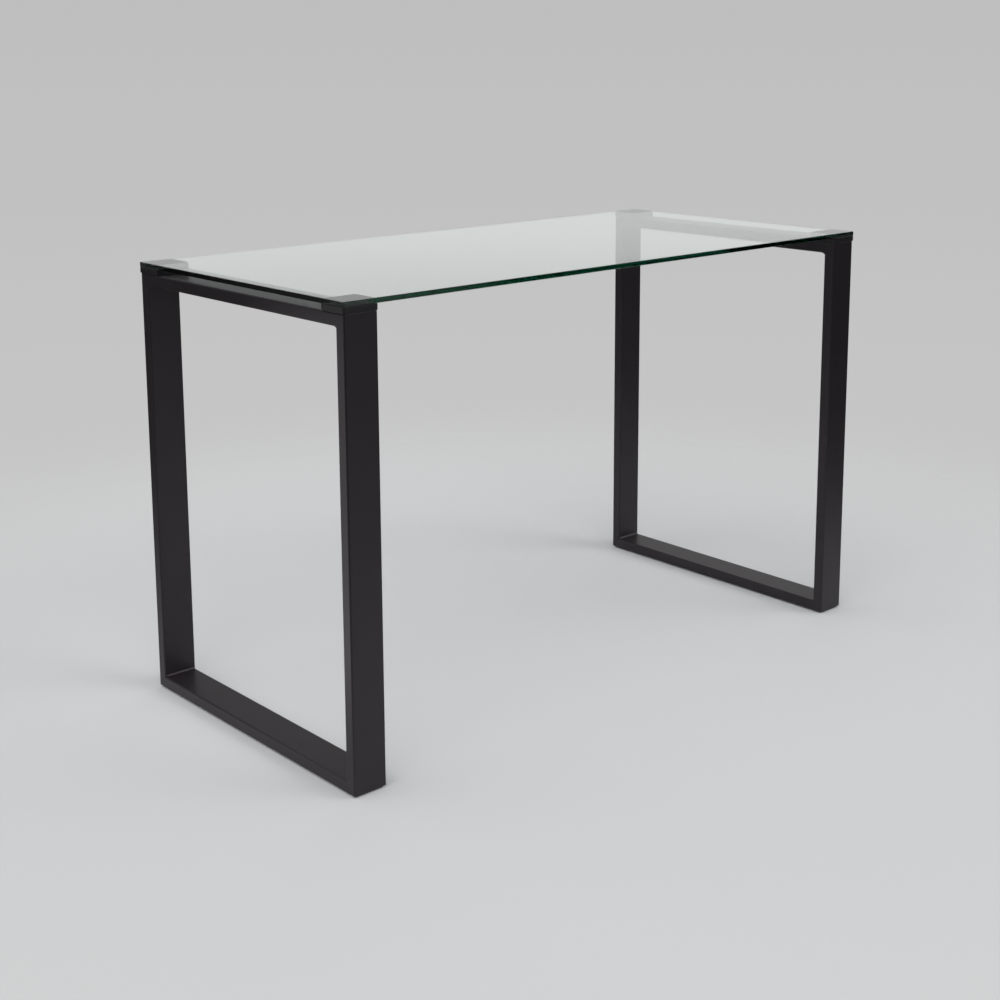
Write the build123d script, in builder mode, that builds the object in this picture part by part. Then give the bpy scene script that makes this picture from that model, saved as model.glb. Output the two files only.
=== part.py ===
from build123d import *
import os

# A glass-top desk: a clear tempered top carried at its corners by two closed loop legs of rectangular
# steel tube. X runs along the desk, Y from its front edge to its back, Z up from the floor, and the
# origin is on the floor under the middle of the top. Lengths are in millimetres.

# Driving dimensions
DESK_LENGTH = 1200
DESK_DEPTH = 570
DESK_HEIGHT = 750

GLASS_THICKNESS = 8
GLASS_CORNER = 2.5  # radius of the four corners in plan
GLASS_ARRIS = 0.8  # polished bevel along the top and bottom edges

TUBE_WIDTH = 60  # along X
TUBE_DEPTH = 20  # in the plane of the leg
TUBE_WALL = 2
TUBE_CORNER = 2.5
MITRE_ROUND = 1.5  # dressed weld on the outer corners of a leg
LEG_REVEAL = 1.5  # how far a leg stands back from the edge of the glass
WELD_SIZE = (3, 3)  # how far the weld in a leg's inner corner reaches along its rail and its post
TOP_FRONT_WELD_SIZE = (8, 4)  # the larger one in the top front corner
WELD_HOLLOW = 0.4  # how far its hollow face stands from the corner, as a share of those reaches

PLATE_WIDTH = 62  # along X
PLATE_DEPTH = 55
PLATE_THICKNESS = 9.7
PLATE_CORNER = 3
PLATE_EDGE = 0.5
BOND_THICKNESS = 0.3
BOND_MARGIN = 1  # how far the adhesive stays inside the plate's outline

SCREW_RADIUS = 3  # M6
SCREW_LENGTH = 12
SCREW_SPACING = 30  # between the two screws of a plate, along X
SCREW_INSET = 43  # from the glass edge to a screw, along Y
HEAD_RADIUS = 5.25
HEAD_HEIGHT = 3.3
HEAD_DOME = 1.8
SOCKET_FLATS = 4
SOCKET_DEPTH = 2
THREAD_DEPTH = 9
CLEARANCE_RADIUS = 3.3
ACCESS_RADIUS = 7
WASHER_RADIUS = 6
WASHER_BORE = 3.2
WASHER_THICKNESS = 1.6

GLIDE_HEIGHT = 3
GLIDE_WIDTH = 52
GLIDE_LENGTH = 45
GLIDE_INSET = 3  # from the end of the leg to the glide, along Y
GLIDE_CORNER = 4
GLIDE_EDGE = 0.8
STEM_RADIUS = 4
STEM_SPACING = 24
STEM_HEIGHT = 7  # above the pad
BARB_RADIUS = 4.7
BARB_HEIGHT = 2.4

# Heights and places that follow from them
GLASS_BOTTOM = DESK_HEIGHT - GLASS_THICKNESS
PLATE_BOTTOM = GLASS_BOTTOM - BOND_THICKNESS - PLATE_THICKNESS
LEG_TOP = PLATE_BOTTOM
LEG_BOTTOM = GLIDE_HEIGHT
LEG_HEIGHT = LEG_TOP - LEG_BOTTOM
LEG_DEPTH = DESK_DEPTH - 2 * LEG_REVEAL
LEG_X = DESK_LENGTH / 2 - LEG_REVEAL - TUBE_WIDTH / 2
LEG_MIDDLE = (LEG_TOP + LEG_BOTTOM) / 2
PLATE_X = (DESK_LENGTH - PLATE_WIDTH) / 2
PLATE_Y = (DESK_DEPTH - PLATE_DEPTH) / 2
SCREW_Y = DESK_DEPTH / 2 - SCREW_INSET
WASHER_BOTTOM = LEG_TOP - TUBE_WALL - WASHER_THICKNESS
GLIDE_Y = LEG_DEPTH / 2 - GLIDE_INSET - GLIDE_LENGTH / 2

# Signs of the coordinates of each side, each end and each level of a leg
SIDES = {"left": -1, "right": 1}
ENDS = {"front": -1, "rear": 1}
LEVELS = (-1, 1)

os.makedirs("parts", exist_ok=True)


def save(piece, name):
    """Names a finished piece and writes it."""
    piece.part.label = name
    export_step(piece.part, f"parts/{name}.step")


# The legs


def level_height(level):
    """The height of a leg's outer face at its bottom (-1) or its top (1)."""
    return LEG_MIDDLE + level * LEG_HEIGHT / 2


def mitre(end, level, way):
    """The diagonal plane of a leg's corner, facing its post (way 1) or its rail (way -1)."""
    corner = (0, end * LEG_DEPTH / 2, level_height(level))
    return Plane(origin=corner, z_dir=(0, way * end, -way * level))


def hollow_section():
    """The tube's section, drawn in the sketch that is open."""
    inner_width = TUBE_WIDTH - 2 * TUBE_WALL
    inner_depth = TUBE_DEPTH - 2 * TUBE_WALL
    RectangleRounded(TUBE_WIDTH, TUBE_DEPTH, TUBE_CORNER)
    RectangleRounded(inner_width, inner_depth, TUBE_CORNER - TUBE_WALL, mode=Mode.SUBTRACT)


def dress_corner(tube, leg_x, end, level):
    """Rounds the outer edge of a tube's square end, before its mitre is cut."""
    corner = (leg_x, end * LEG_DEPTH / 2, level_height(level))
    outer_edge = tube.edges().filter_by(Axis.X).sort_by_distance(corner)[0]
    fillet(outer_edge, MITRE_ROUND)


def make_post(leg_x, end):
    """The upright tube at one end of a leg, mitred at its top and bottom."""
    with BuildPart() as post:
        with BuildSketch(Plane((leg_x, end * (LEG_DEPTH - TUBE_DEPTH) / 2, LEG_BOTTOM))):
            hollow_section()
        extrude(amount=LEG_HEIGHT)
        for level in LEVELS:
            dress_corner(post, leg_x, end, level)
        for level in LEVELS:
            split(bisect_by=mitre(end, level, way=1), keep=Keep.TOP)
    return post


def make_rail(leg_x, level):
    """The tube along the top or bottom of a leg, mitred at both ends and drilled for what it holds."""
    rail_z = level_height(level) - level * TUBE_DEPTH / 2
    with BuildPart() as rail:
        with BuildSketch(Plane(origin=(leg_x, -LEG_DEPTH / 2, rail_z), x_dir=(1, 0, 0), z_dir=(0, 1, 0))):
            hollow_section()
        extrude(amount=LEG_DEPTH)
        for end in ENDS.values():
            dress_corner(rail, leg_x, end, level)
        for end in ENDS.values():
            split(bisect_by=mitre(end, level, way=-1), keep=Keep.TOP)
        if level > 0:
            extrude(screw_circles(leg_x, LEG_TOP, CLEARANCE_RADIUS), -TUBE_WALL, mode=Mode.SUBTRACT)
            key_side = LEG_TOP - TUBE_DEPTH + TUBE_WALL
            extrude(screw_circles(leg_x, key_side, ACCESS_RADIUS), -TUBE_WALL, mode=Mode.SUBTRACT)
        else:
            for end in ENDS.values():
                extrude(stem_circles(leg_x, end, LEG_BOTTOM), TUBE_WALL, mode=Mode.SUBTRACT)
    return rail


def make_welds(leg_x):
    """A hollow weld fillet along each of a leg's four inner corners."""
    with BuildPart() as welds:
        for end in ENDS.values():
            for level in LEVELS:
                corner_y = end * (LEG_DEPTH / 2 - TUBE_DEPTH)
                corner_z = level_height(level) - level * TUBE_DEPTH
                top_front = end < 0 < level
                rail_reach, post_reach = TOP_FRONT_WELD_SIZE if top_front else WELD_SIZE
                along_rail = (corner_y - end * rail_reach, corner_z)
                along_post = (corner_y, corner_z - level * post_reach)
                throat_y = corner_y - end * rail_reach * WELD_HOLLOW
                throat_z = corner_z - level * post_reach * WELD_HOLLOW
                with BuildSketch(Plane.YZ.offset(leg_x)):
                    with BuildLine():
                        Polyline(along_rail, (corner_y, corner_z), along_post)
                        ThreePointArc(along_post, (throat_y, throat_z), along_rail)
                    make_face()
                extrude(amount=TUBE_WIDTH / 2 - TUBE_CORNER, both=True)
    return welds


# The top and what carries it


def make_glass():
    """The clear top, with polished bevels along its edges."""
    with BuildPart() as glass:
        with BuildSketch(Plane.XY.offset(GLASS_BOTTOM)):
            RectangleRounded(DESK_LENGTH, DESK_DEPTH, GLASS_CORNER)
        extrude(amount=GLASS_THICKNESS)
        rims = glass.edges().group_by(Axis.Z)
        chamfer(rims[0] + rims[-1], GLASS_ARRIS)
    return glass


def make_plate(side, end):
    """The steel plate between a leg and the glass, tapped from below for its two screws."""
    with BuildPart() as plate:
        with BuildSketch(Plane((side * PLATE_X, end * PLATE_Y, PLATE_BOTTOM))):
            RectangleRounded(PLATE_WIDTH, PLATE_DEPTH, PLATE_CORNER)
        extrude(amount=PLATE_THICKNESS)
        rims = plate.edges().group_by(Axis.Z)
        chamfer(rims[0] + rims[-1], PLATE_EDGE)
        with BuildSketch(Plane((side * LEG_X, end * SCREW_Y, PLATE_BOTTOM))):
            with GridLocations(SCREW_SPACING, 0, 2, 1):
                Circle(SCREW_RADIUS)
        extrude(amount=THREAD_DEPTH, mode=Mode.SUBTRACT)
    return plate


def make_bond(side, end):
    """The layer of adhesive between a plate and the glass."""
    with BuildPart() as bond:
        with BuildSketch(Plane((side * PLATE_X, end * PLATE_Y, PLATE_BOTTOM + PLATE_THICKNESS))):
            RectangleRounded(PLATE_WIDTH - 2 * BOND_MARGIN, PLATE_DEPTH - 2 * BOND_MARGIN, PLATE_CORNER)
        extrude(amount=BOND_THICKNESS)
    return bond


# Fasteners and feet


def screw_circles(leg_x, height, radius):
    """A sketch at that height with a circle at each of a leg's four screws."""
    with BuildSketch(Plane((leg_x, 0, height))) as circles:
        with GridLocations(SCREW_SPACING, 2 * SCREW_Y, 2, 2):
            Circle(radius)
    return circles.sketch


def stem_circles(leg_x, end, height):
    """A sketch at that height with a circle at each of a glide's two stems."""
    with BuildSketch(Plane((leg_x, end * GLIDE_Y, height))) as circles:
        with GridLocations(0, STEM_SPACING, 1, 2):
            Circle(STEM_RADIUS)
    return circles.sketch


def make_screws():
    """Button-head screws, up through the top rails' upper walls into the plates."""
    head_bottom = WASHER_BOTTOM - HEAD_HEIGHT
    with BuildPart() as screws:
        for leg_x in (-LEG_X, LEG_X):
            extrude(screw_circles(leg_x, head_bottom, HEAD_RADIUS), HEAD_HEIGHT)
        fillet(screws.edges().group_by(Axis.Z)[0], HEAD_DOME)
        for leg_x in (-LEG_X, LEG_X):
            extrude(screw_circles(leg_x, WASHER_BOTTOM, SCREW_RADIUS), SCREW_LENGTH)
            with BuildSketch(Plane((leg_x, 0, head_bottom))):
                with GridLocations(SCREW_SPACING, 2 * SCREW_Y, 2, 2):
                    RegularPolygon(SOCKET_FLATS / 2, 6, major_radius=False)
            extrude(amount=SOCKET_DEPTH, mode=Mode.SUBTRACT)
    return screws


def make_washers():
    """A washer under each screw's head."""
    with BuildPart() as washers:
        for leg_x in (-LEG_X, LEG_X):
            extrude(screw_circles(leg_x, WASHER_BOTTOM, WASHER_RADIUS), WASHER_THICKNESS)
            extrude(screw_circles(leg_x, WASHER_BOTTOM, WASHER_BORE), WASHER_THICKNESS, mode=Mode.SUBTRACT)
    return washers


def make_glide(leg_x, end):
    """The pad under one end of a leg, with two stems that snap through the tube's lower wall."""
    barb_bottom = GLIDE_HEIGHT + TUBE_WALL
    with BuildPart() as glide:
        with BuildSketch(Plane((leg_x, end * GLIDE_Y, 0))):
            RectangleRounded(GLIDE_WIDTH, GLIDE_LENGTH, GLIDE_CORNER)
        extrude(amount=GLIDE_HEIGHT)
        fillet(glide.edges().group_by(Axis.Z)[0], GLIDE_EDGE)
        extrude(stem_circles(leg_x, end, GLIDE_HEIGHT), STEM_HEIGHT)
        with Locations((leg_x, end * GLIDE_Y, barb_bottom)):
            with GridLocations(0, STEM_SPACING, 1, 2):
                Cone(BARB_RADIUS, STEM_RADIUS, BARB_HEIGHT, align=(Align.CENTER, Align.CENTER, Align.MIN))
    return glide


save(make_glass(), "glass_top")
for side, side_sign in SIDES.items():
    leg_x = side_sign * LEG_X
    save(make_rail(leg_x, level=1), f"{side}_top_rail")
    save(make_rail(leg_x, level=-1), f"{side}_bottom_rail")
    save(make_welds(leg_x), f"{side}_leg_welds")
    for end, end_sign in ENDS.items():
        save(make_post(leg_x, end_sign), f"{side}_{end}_post")
        save(make_plate(side_sign, end_sign), f"{end}_{side}_plate")
        save(make_bond(side_sign, end_sign), f"{end}_{side}_bond")
        save(make_glide(leg_x, end_sign), f"{end}_{side}_glide")
save(make_screws(), "plate_screws")
save(make_washers(), "screw_washers")
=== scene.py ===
import math

import bmesh
import bpy
from mathutils import Matrix

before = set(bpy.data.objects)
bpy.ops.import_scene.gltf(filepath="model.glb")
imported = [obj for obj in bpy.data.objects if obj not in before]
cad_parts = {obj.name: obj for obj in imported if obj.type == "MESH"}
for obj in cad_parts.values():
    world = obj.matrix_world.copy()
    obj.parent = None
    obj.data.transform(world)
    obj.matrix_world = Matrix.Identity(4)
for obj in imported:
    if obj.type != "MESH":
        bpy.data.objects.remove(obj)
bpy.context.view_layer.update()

# Lengths are in metres and angles in degrees. The desk stands on the floor at z = 0, its front edge
# towards -Y and its length along X. An azimuth is measured from +Y towards +X.

# The camera stands off the desk's front left corner, a little above its top.
CAMERA_PLACE = (-1.887, -2.048, 1.108)
CAMERA_YAW = 41.9  # an azimuth
CAMERA_PITCH = 10.4  # below the horizon
CAMERA_ROLL = 0.27
SENSOR_WIDTH = 36.0
LENS = 56.6
LENS_SHIFT = -0.17

# The floor gives way to the backdrop away from the desk, so that no horizon shows.
FLOOR_RADIUS = 12.0
FLOOR_SEGMENTS = 96
FLOOR_TONE = (0.718, 0.724, 0.735)
FLOOR_MOTTLE = 0.004  # how much darker its darker parts are
FLOOR_GRAIN = 1.5  # the scale of those parts
FLOOR_FADE = (0.65, 2.1)  # the distances from the desk between which it fades

# Tones are pairs: the sine of the height above the horizon, and how bright the room is there.
# The backdrop is what the camera sees past the desk and through its glass.
BACKDROP_TONES = (
    (-0.53, 0.637),
    (-0.40, 0.604),
    (-0.22, 0.559),
    (-0.07, 0.533),
    (0.03, 0.518),
    (0.50, 0.500),
)

# The studio is what lights the desk: soft light overhead, in a room that is dark but for these patches.
# A patch is an azimuth, a height, a spread and a brightness.
OVERHEAD_TONES = (
    (0.31, 0.0),
    (0.54, 0.90),
    (1.0, 0.36),
)
GLOWS = (
    (250.0, 44.0, 47.0, 1.25),  # the two side lights
    (142.0, 27.0, 22.0, 2.45),
    (313.0, 26.0, 19.0, 0.38),  # paler parts of the room
    (124.0, 16.0, 18.0, 0.38),
    (155.0, -9.0, 18.0, 0.50),  # the lit floor further off
    (312.0, -9.0, 20.0, 0.18),
    (270.0, -6.0, 28.0, 0.50),
    (5.0, -6.0, 22.0, 0.50),
    (20.0, 36.0, 27.0, -0.50),  # the unlit gap above the backdrop
)
GLOW_CORE = 0.4  # the share of a patch's spread that is evenly bright

# The lit backdrop behind the desk, as its glass and tubes reflect it: a patch, with its own tones.
BEHIND = (43.0, 3.0, 42.0, 1.0)
BEHIND_TONES = (
    (-0.40, 0.55),
    (0.0, 0.80),
    (0.11, 0.76),
    (0.17, 0.62),
    (0.28, 0.42),
    (0.45, 0.0),
)

# A strip light behind a grid, close to the left leg and turned to its front post. Only gloss shows it.
STRIP_PLACE = (-0.85, 0.07, 0.33)
STRIP_HEIGHT = 0.66
STRIP_WIDTH = 0.27
STRIP_TURN = 54.0  # from +X towards -Y
STRIP_RISE = 15.0
STRIP_SPREAD = 90.0
STRIP_POWER = 0.10

# Finishes. A pair of tones is the dark and the light end of a colour's slow changes, and a grain is the
# scale of a noise, in cells to the metre.
LEG_TONES = ((0.0125, 0.0098, 0.0120), (0.0155, 0.0123, 0.0148))
PLATE_TONES = ((0.0098, 0.0092, 0.0104), (0.0124, 0.0116, 0.0130))
COAT_TINT = (1.0, 0.945, 0.995)
COAT_GLOSS = 0.4
COAT_INDEX = 1.5
COAT_ROUGHNESS = (0.30, 0.42)
COAT_CLOUD_GRAIN = 9.0
COAT_SPECK_GRAIN = 1400.0
COAT_SPECK_DEPTH = 0.00002
COAT_PEEL_GRAIN = 650.0
COAT_PEEL_DEPTH = 0.00005

GLASS_INDEX = 1.52
GLASS_GREEN = (0.0, 0.45, 0.33)
GLASS_DENSITY = 9.0
GLASS_HAZE = (0.0, 0.006)  # the roughness of its clean and its least clean parts
GLASS_HAZE_GRAIN = 6.0
GLASS_BOUNCES = 32

ADHESIVE_TONES = ((0.028, 0.026, 0.029), (0.036, 0.033, 0.037))
ADHESIVE_GRAIN = 120.0
ADHESIVE_ROUGHNESS = (0.35, 0.5)
ADHESIVE_GLOSS_GRAIN = 300.0
BOND_REACH = 0.00005  # how far the adhesive wets into the glass, so that no air shows between the two

PLASTIC_TONES = ((0.05, 0.05, 0.05), (0.07, 0.07, 0.07))
PLASTIC_CLOUD_GRAIN = 60.0
PLASTIC_GRAIN = 900.0
PLASTIC_DEPTH = 0.00004
PLASTIC_ROUGHNESS = (0.5, 0.65)

ZINC_TONES = ((0.42, 0.43, 0.45), (0.56, 0.56, 0.57))
ZINC_GRAIN = 500.0
ZINC_ROUGHNESS = (0.26, 0.42)
ZINC_GLOSS_GRAIN = 1500.0
ZINC_MARK_GRAIN = 2500.0
ZINC_MARK_DEPTH = 0.00001


def nodes_named(ending):
    """The CAD objects whose names end so."""
    return [o for name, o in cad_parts.items() if name.endswith(ending)]


def finish_with(objects, material):
    """Gives each object that one material in all its slots."""
    for o in objects:
        if not o.material_slots:
            o.data.materials.append(material)
        for material_slot in o.material_slots:
            material_slot.material = material


class Shading:
    """A new material's node tree, with short ways to add and join nodes."""

    def __init__(self, name):
        self.material = bpy.data.materials.new(name)
        self.material.use_nodes = True
        self.tree = self.material.node_tree
        self.tree.nodes.clear()
        self.output = self.add("OutputMaterial")
        self.shader = self.add("BsdfPrincipled")
        self.join(self.shader.outputs["BSDF"], self.output.inputs["Surface"])
        self.place = self.add("TexCoord").outputs["Object"]

    def add(self, kind):
        return self.tree.nodes.new("ShaderNode" + kind)

    def join(self, out, into):
        self.tree.links.new(out, into)

    def drive(self, socket, value):
        """Joins a value to the shader's own socket of that name."""
        self.join(value, self.shader.inputs[socket])

    def set(self, **values):
        """Sets the shader's own sockets: base_color sets "Base Color"."""
        for key, value in values.items():
            socket = key.replace("_", " ").title().replace("Ior", "IOR")
            self.shader.inputs[socket].default_value = value

    def noise(self, grain, detail=3.0):
        node = self.add("TexNoise")
        node.inputs["Scale"].default_value = grain
        node.inputs["Detail"].default_value = detail
        self.join(self.place, node.inputs["Vector"])
        return node.outputs["Fac"]

    def span(self, value, low, high, start=0.3, end=0.7, smooth=False):
        """A value mapped from start..end to low..high."""
        node = self.add("MapRange")
        if smooth:
            node.interpolation_type = "SMOOTHSTEP"
        sockets = ("From Min", "From Max", "To Min", "To Max")
        for socket, number in zip(sockets, (start, end, low, high)):
            node.inputs[socket].default_value = number
        self.join(value, node.inputs["Value"])
        return node.outputs["Result"]

    def blend(self, grain, tones):
        """A colour that a noise of that grain moves between two tones."""
        node = self.add("Mix")
        node.data_type = "RGBA"
        self.join(self.span(self.noise(grain), 0, 1), node.inputs["Factor"])
        for socket, tone in zip("AB", tones):
            node.inputs[socket].default_value = (*tone, 1)
        return node.outputs["Result"]

    def bump(self, height, depth, strength=0.5, normal=None):
        node = self.add("Bump")
        node.inputs["Strength"].default_value = strength
        node.inputs["Distance"].default_value = depth
        self.join(height, node.inputs["Height"])
        if normal is not None:
            self.join(normal, node.inputs["Normal"])
        return node.outputs["Normal"]


def powder_coat(name, tones):
    """A baked powder coat: fine orange peel with slow changes of tone and gloss."""
    coat = Shading(name)
    speck = coat.noise(COAT_SPECK_GRAIN, detail=2.0)
    peel = coat.bump(coat.noise(COAT_PEEL_GRAIN, detail=2.0), COAT_PEEL_DEPTH)
    coat.drive("Base Color", coat.blend(COAT_CLOUD_GRAIN, tones))
    coat.drive("Roughness", coat.span(speck, *COAT_ROUGHNESS))
    coat.drive("Normal", coat.bump(speck, COAT_SPECK_DEPTH, normal=peel))
    coat.set(specular_ior_level=COAT_GLOSS, ior=COAT_INDEX, specular_tint=(*COAT_TINT, 1))
    return coat.material


def clear_glass(name):
    """Float glass, clear through its thickness and green along its length."""
    glass = Shading(name)
    glass.set(base_color=(1, 1, 1, 1), transmission_weight=1.0, ior=GLASS_INDEX)
    haze = glass.span(glass.noise(GLASS_HAZE_GRAIN), *GLASS_HAZE, start=0.45, end=0.75)
    glass.drive("Roughness", haze)
    body = glass.add("VolumeAbsorption")
    body.inputs["Color"].default_value = (*GLASS_GREEN, 1)
    body.inputs["Density"].default_value = GLASS_DENSITY
    glass.join(body.outputs["Volume"], glass.output.inputs["Volume"])
    return glass.material


def adhesive(name):
    """A thin cured layer, lightly mottled, seen through the glass."""
    layer = Shading(name)
    layer.drive("Base Color", layer.blend(ADHESIVE_GRAIN, ADHESIVE_TONES))
    layer.drive("Roughness", layer.span(layer.noise(ADHESIVE_GLOSS_GRAIN), *ADHESIVE_ROUGHNESS))
    return layer.material


def moulded_plastic(name):
    """Dark polyethylene with a fine moulded grain."""
    plastic = Shading(name)
    grain = plastic.noise(PLASTIC_GRAIN)
    plastic.drive("Base Color", plastic.blend(PLASTIC_CLOUD_GRAIN, PLASTIC_TONES))
    plastic.drive("Roughness", plastic.span(grain, *PLASTIC_ROUGHNESS))
    plastic.drive("Normal", plastic.bump(grain, PLASTIC_DEPTH))
    return plastic.material


def zinc_plate(name):
    """Zinc-plated steel with faint marks and uneven gloss."""
    zinc = Shading(name)
    zinc.drive("Base Color", zinc.blend(ZINC_GRAIN, ZINC_TONES))
    zinc.drive("Roughness", zinc.span(zinc.noise(ZINC_GLOSS_GRAIN), *ZINC_ROUGHNESS))
    zinc.drive("Normal", zinc.bump(zinc.noise(ZINC_MARK_GRAIN), ZINC_MARK_DEPTH, strength=0.4))
    zinc.set(metallic=1.0)
    return zinc.material


def pale_floor(name):
    """Matt studio floor, which gives way to the backdrop away from the desk."""
    floor = Shading(name)
    low = tuple(tone - FLOOR_MOTTLE for tone in FLOOR_TONE)
    floor.drive("Base Color", floor.blend(FLOOR_GRAIN, (low, FLOOR_TONE)))
    floor.set(roughness=1.0, specular_ior_level=0.0)
    distance = floor.add("VectorMath")
    distance.operation = "LENGTH"
    floor.join(floor.place, distance.inputs[0])
    start, end = FLOOR_FADE
    fade = floor.span(distance.outputs["Value"], 0, 1, start, end, smooth=True)
    away = floor.add("BsdfTransparent")
    seen = floor.add("MixShader")
    floor.join(fade, seen.inputs["Fac"])
    floor.join(floor.shader.outputs["BSDF"], seen.inputs[1])
    floor.join(away.outputs["BSDF"], seen.inputs[2])
    floor.join(seen.outputs["Shader"], floor.output.inputs["Surface"])
    return floor.material


def make_floor():
    mesh = bpy.data.meshes.new("floor")
    disc = bmesh.new()
    bmesh.ops.create_circle(disc, cap_ends=True, segments=FLOOR_SEGMENTS, radius=FLOOR_RADIUS)
    disc.to_mesh(mesh)
    disc.free()
    floor = bpy.data.objects.new("floor", mesh)
    bpy.context.scene.collection.objects.link(floor)
    mesh.materials.append(pale_floor("studio_floor"))


class Sky:
    """The world's node tree, with short ways to make brightness from direction."""

    def __init__(self, name):
        world = bpy.data.worlds.new(name)
        bpy.context.scene.world = world
        world.use_nodes = True
        self.tree = world.node_tree
        self.tree.nodes.clear()
        self.direction = self.add("TexCoord").outputs["Generated"]
        split = self.add("SeparateXYZ")
        self.join(self.direction, split.inputs[0])
        self.height = split.outputs["Z"]

    def add(self, kind):
        return self.tree.nodes.new("ShaderNode" + kind)

    def join(self, out, into):
        self.tree.links.new(out, into)

    def math(self, operation, *values):
        node = self.add("Math")
        node.operation = operation
        for value, socket in zip(values, node.inputs):
            if isinstance(value, (int, float)):
                socket.default_value = value
            else:
                self.join(value, socket)
        return node.outputs["Value"]

    def tones(self, steps):
        """Brightness by the sine of the height above the horizon, smoothed between the steps."""
        low, high = steps[0][0], steps[-1][0]
        place = self.math("DIVIDE", self.math("SUBTRACT", self.height, low), high - low)
        ramp = self.add("ValToRGB")
        ramp.color_ramp.interpolation = "EASE"
        stops = ramp.color_ramp.elements
        while len(stops) < len(steps):
            stops.new(0.5)
        brightest = max(tone for _, tone in steps)
        for stop, (height, tone) in zip(stops, steps):
            stop.position = (height - low) / (high - low)
            stop.color = (*(tone / brightest,) * 3, 1)
        self.join(place, ramp.inputs["Fac"])
        return self.math("MULTIPLY", ramp.outputs["Color"], brightest)

    def glow(self, azimuth, height, spread, brightness):
        """A soft patch of light in one direction, or of dark where its brightness is negative."""
        turn, rise = math.radians(azimuth), math.radians(height)
        towards = self.add("VectorMath")
        towards.operation = "DOT_PRODUCT"
        self.join(self.direction, towards.inputs[0])
        towards.inputs[1].default_value = (
            math.sin(turn) * math.cos(rise),
            math.cos(turn) * math.cos(rise),
            math.sin(rise),
        )
        patch = self.add("MapRange")
        patch.interpolation_type = "SMOOTHSTEP"
        patch.inputs["From Min"].default_value = math.cos(math.radians(spread))
        patch.inputs["From Max"].default_value = math.cos(math.radians(spread * GLOW_CORE))
        patch.inputs["To Max"].default_value = brightness
        self.join(towards.outputs["Value"], patch.inputs["Value"])
        return patch.outputs["Result"]


def make_sky():
    """The backdrop is what is seen past the desk and through its glass; the studio is what lights them."""
    sky = Sky("studio")
    studio = sky.tones(OVERHEAD_TONES)
    for glow in GLOWS:
        studio = sky.math("ADD", studio, sky.glow(*glow))
    studio = sky.math("MAXIMUM", studio, 0.0)
    behind = sky.math("MULTIPLY", sky.tones(BEHIND_TONES), sky.glow(*BEHIND))
    studio = sky.math("ADD", studio, behind)

    # A ray sees the backdrop if it comes from the camera, straight or through glass alone.
    ray = sky.add("LightPath")
    bounces = sky.math("ADD", ray.outputs["Diffuse Depth"], ray.outputs["Glossy Depth"])
    unbounced = sky.math("LESS_THAN", bounces, 0.5)
    through = sky.math("MULTIPLY", ray.outputs["Is Transmission Ray"], unbounced)
    seen = sky.math("MAXIMUM", ray.outputs["Is Camera Ray"], through)

    backdrop = sky.math("MULTIPLY", sky.tones(BACKDROP_TONES), seen)
    lighting = sky.math("MULTIPLY", studio, sky.math("SUBTRACT", 1.0, seen))
    light = sky.add("Background")
    light.inputs["Color"].default_value = (1, 1, 1, 1)
    sky.join(sky.math("ADD", backdrop, lighting), light.inputs["Strength"])
    output = sky.add("OutputWorld")
    sky.join(light.outputs["Background"], output.inputs["Surface"])


def place_object(name, data, place, turns):
    """Puts a camera or a light in the scene. It is turned by each axis and angle, the last one first."""
    placed = bpy.data.objects.new(name, data)
    bpy.context.scene.collection.objects.link(placed)
    matrix = Matrix.Translation(place)
    for axis, angle in turns:
        matrix = matrix @ Matrix.Rotation(math.radians(angle), 4, axis)
    placed.matrix_world = matrix
    return placed


def make_strip():
    data = bpy.data.lights.new("side_strip", "AREA")
    data.shape = "RECTANGLE"
    data.size = STRIP_HEIGHT
    data.size_y = STRIP_WIDTH
    data.spread = math.radians(STRIP_SPREAD)
    data.energy = STRIP_POWER
    turns = (("Z", -STRIP_TURN), ("Y", -90 - STRIP_RISE))
    strip = place_object("side_strip", data, STRIP_PLACE, turns)
    strip.visible_camera = False
    strip.visible_diffuse = False
    strip.visible_transmission = False


def make_camera():
    data = bpy.data.cameras.new("camera")
    data.sensor_width = SENSOR_WIDTH
    data.lens = LENS
    data.shift_y = LENS_SHIFT
    data.clip_end = 4 * FLOOR_RADIUS
    turns = (("Z", -CAMERA_YAW), ("X", 90 - CAMERA_PITCH), ("Z", -CAMERA_ROLL))
    bpy.context.scene.camera = place_object("camera", data, CAMERA_PLACE, turns)


make_camera()
make_sky()
make_strip()
make_floor()
bpy.context.scene.view_settings.view_transform = "Standard"

# Light bounces many times between the faces of the glass before it leaves by an edge.
for kind in ("max", "glossy", "transmission"):
    setattr(bpy.context.scene.cycles, kind + "_bounces", GLASS_BOUNCES)

black_coat = powder_coat("black_powder_coat", LEG_TONES)
for ending in ("_post", "_rail", "_leg_welds"):
    finish_with(nodes_named(ending), black_coat)
finish_with(nodes_named("_plate"), powder_coat("plate_coat", PLATE_TONES))
finish_with(nodes_named("_bond"), adhesive("cured_adhesive"))
finish_with(nodes_named("_glide"), moulded_plastic("glide_plastic"))
fixings = [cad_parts[name] for name in ("plate_screws", "screw_washers")]
finish_with(fixings, zinc_plate("zinc_plate"))
finish_with([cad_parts["glass_top"]], clear_glass("float_glass"))

for bond in nodes_named("_bond"):
    swell = bond.modifiers.new("wet_the_glass", "DISPLACE")
    swell.strength = BOND_REACH
    swell.mid_level = 0
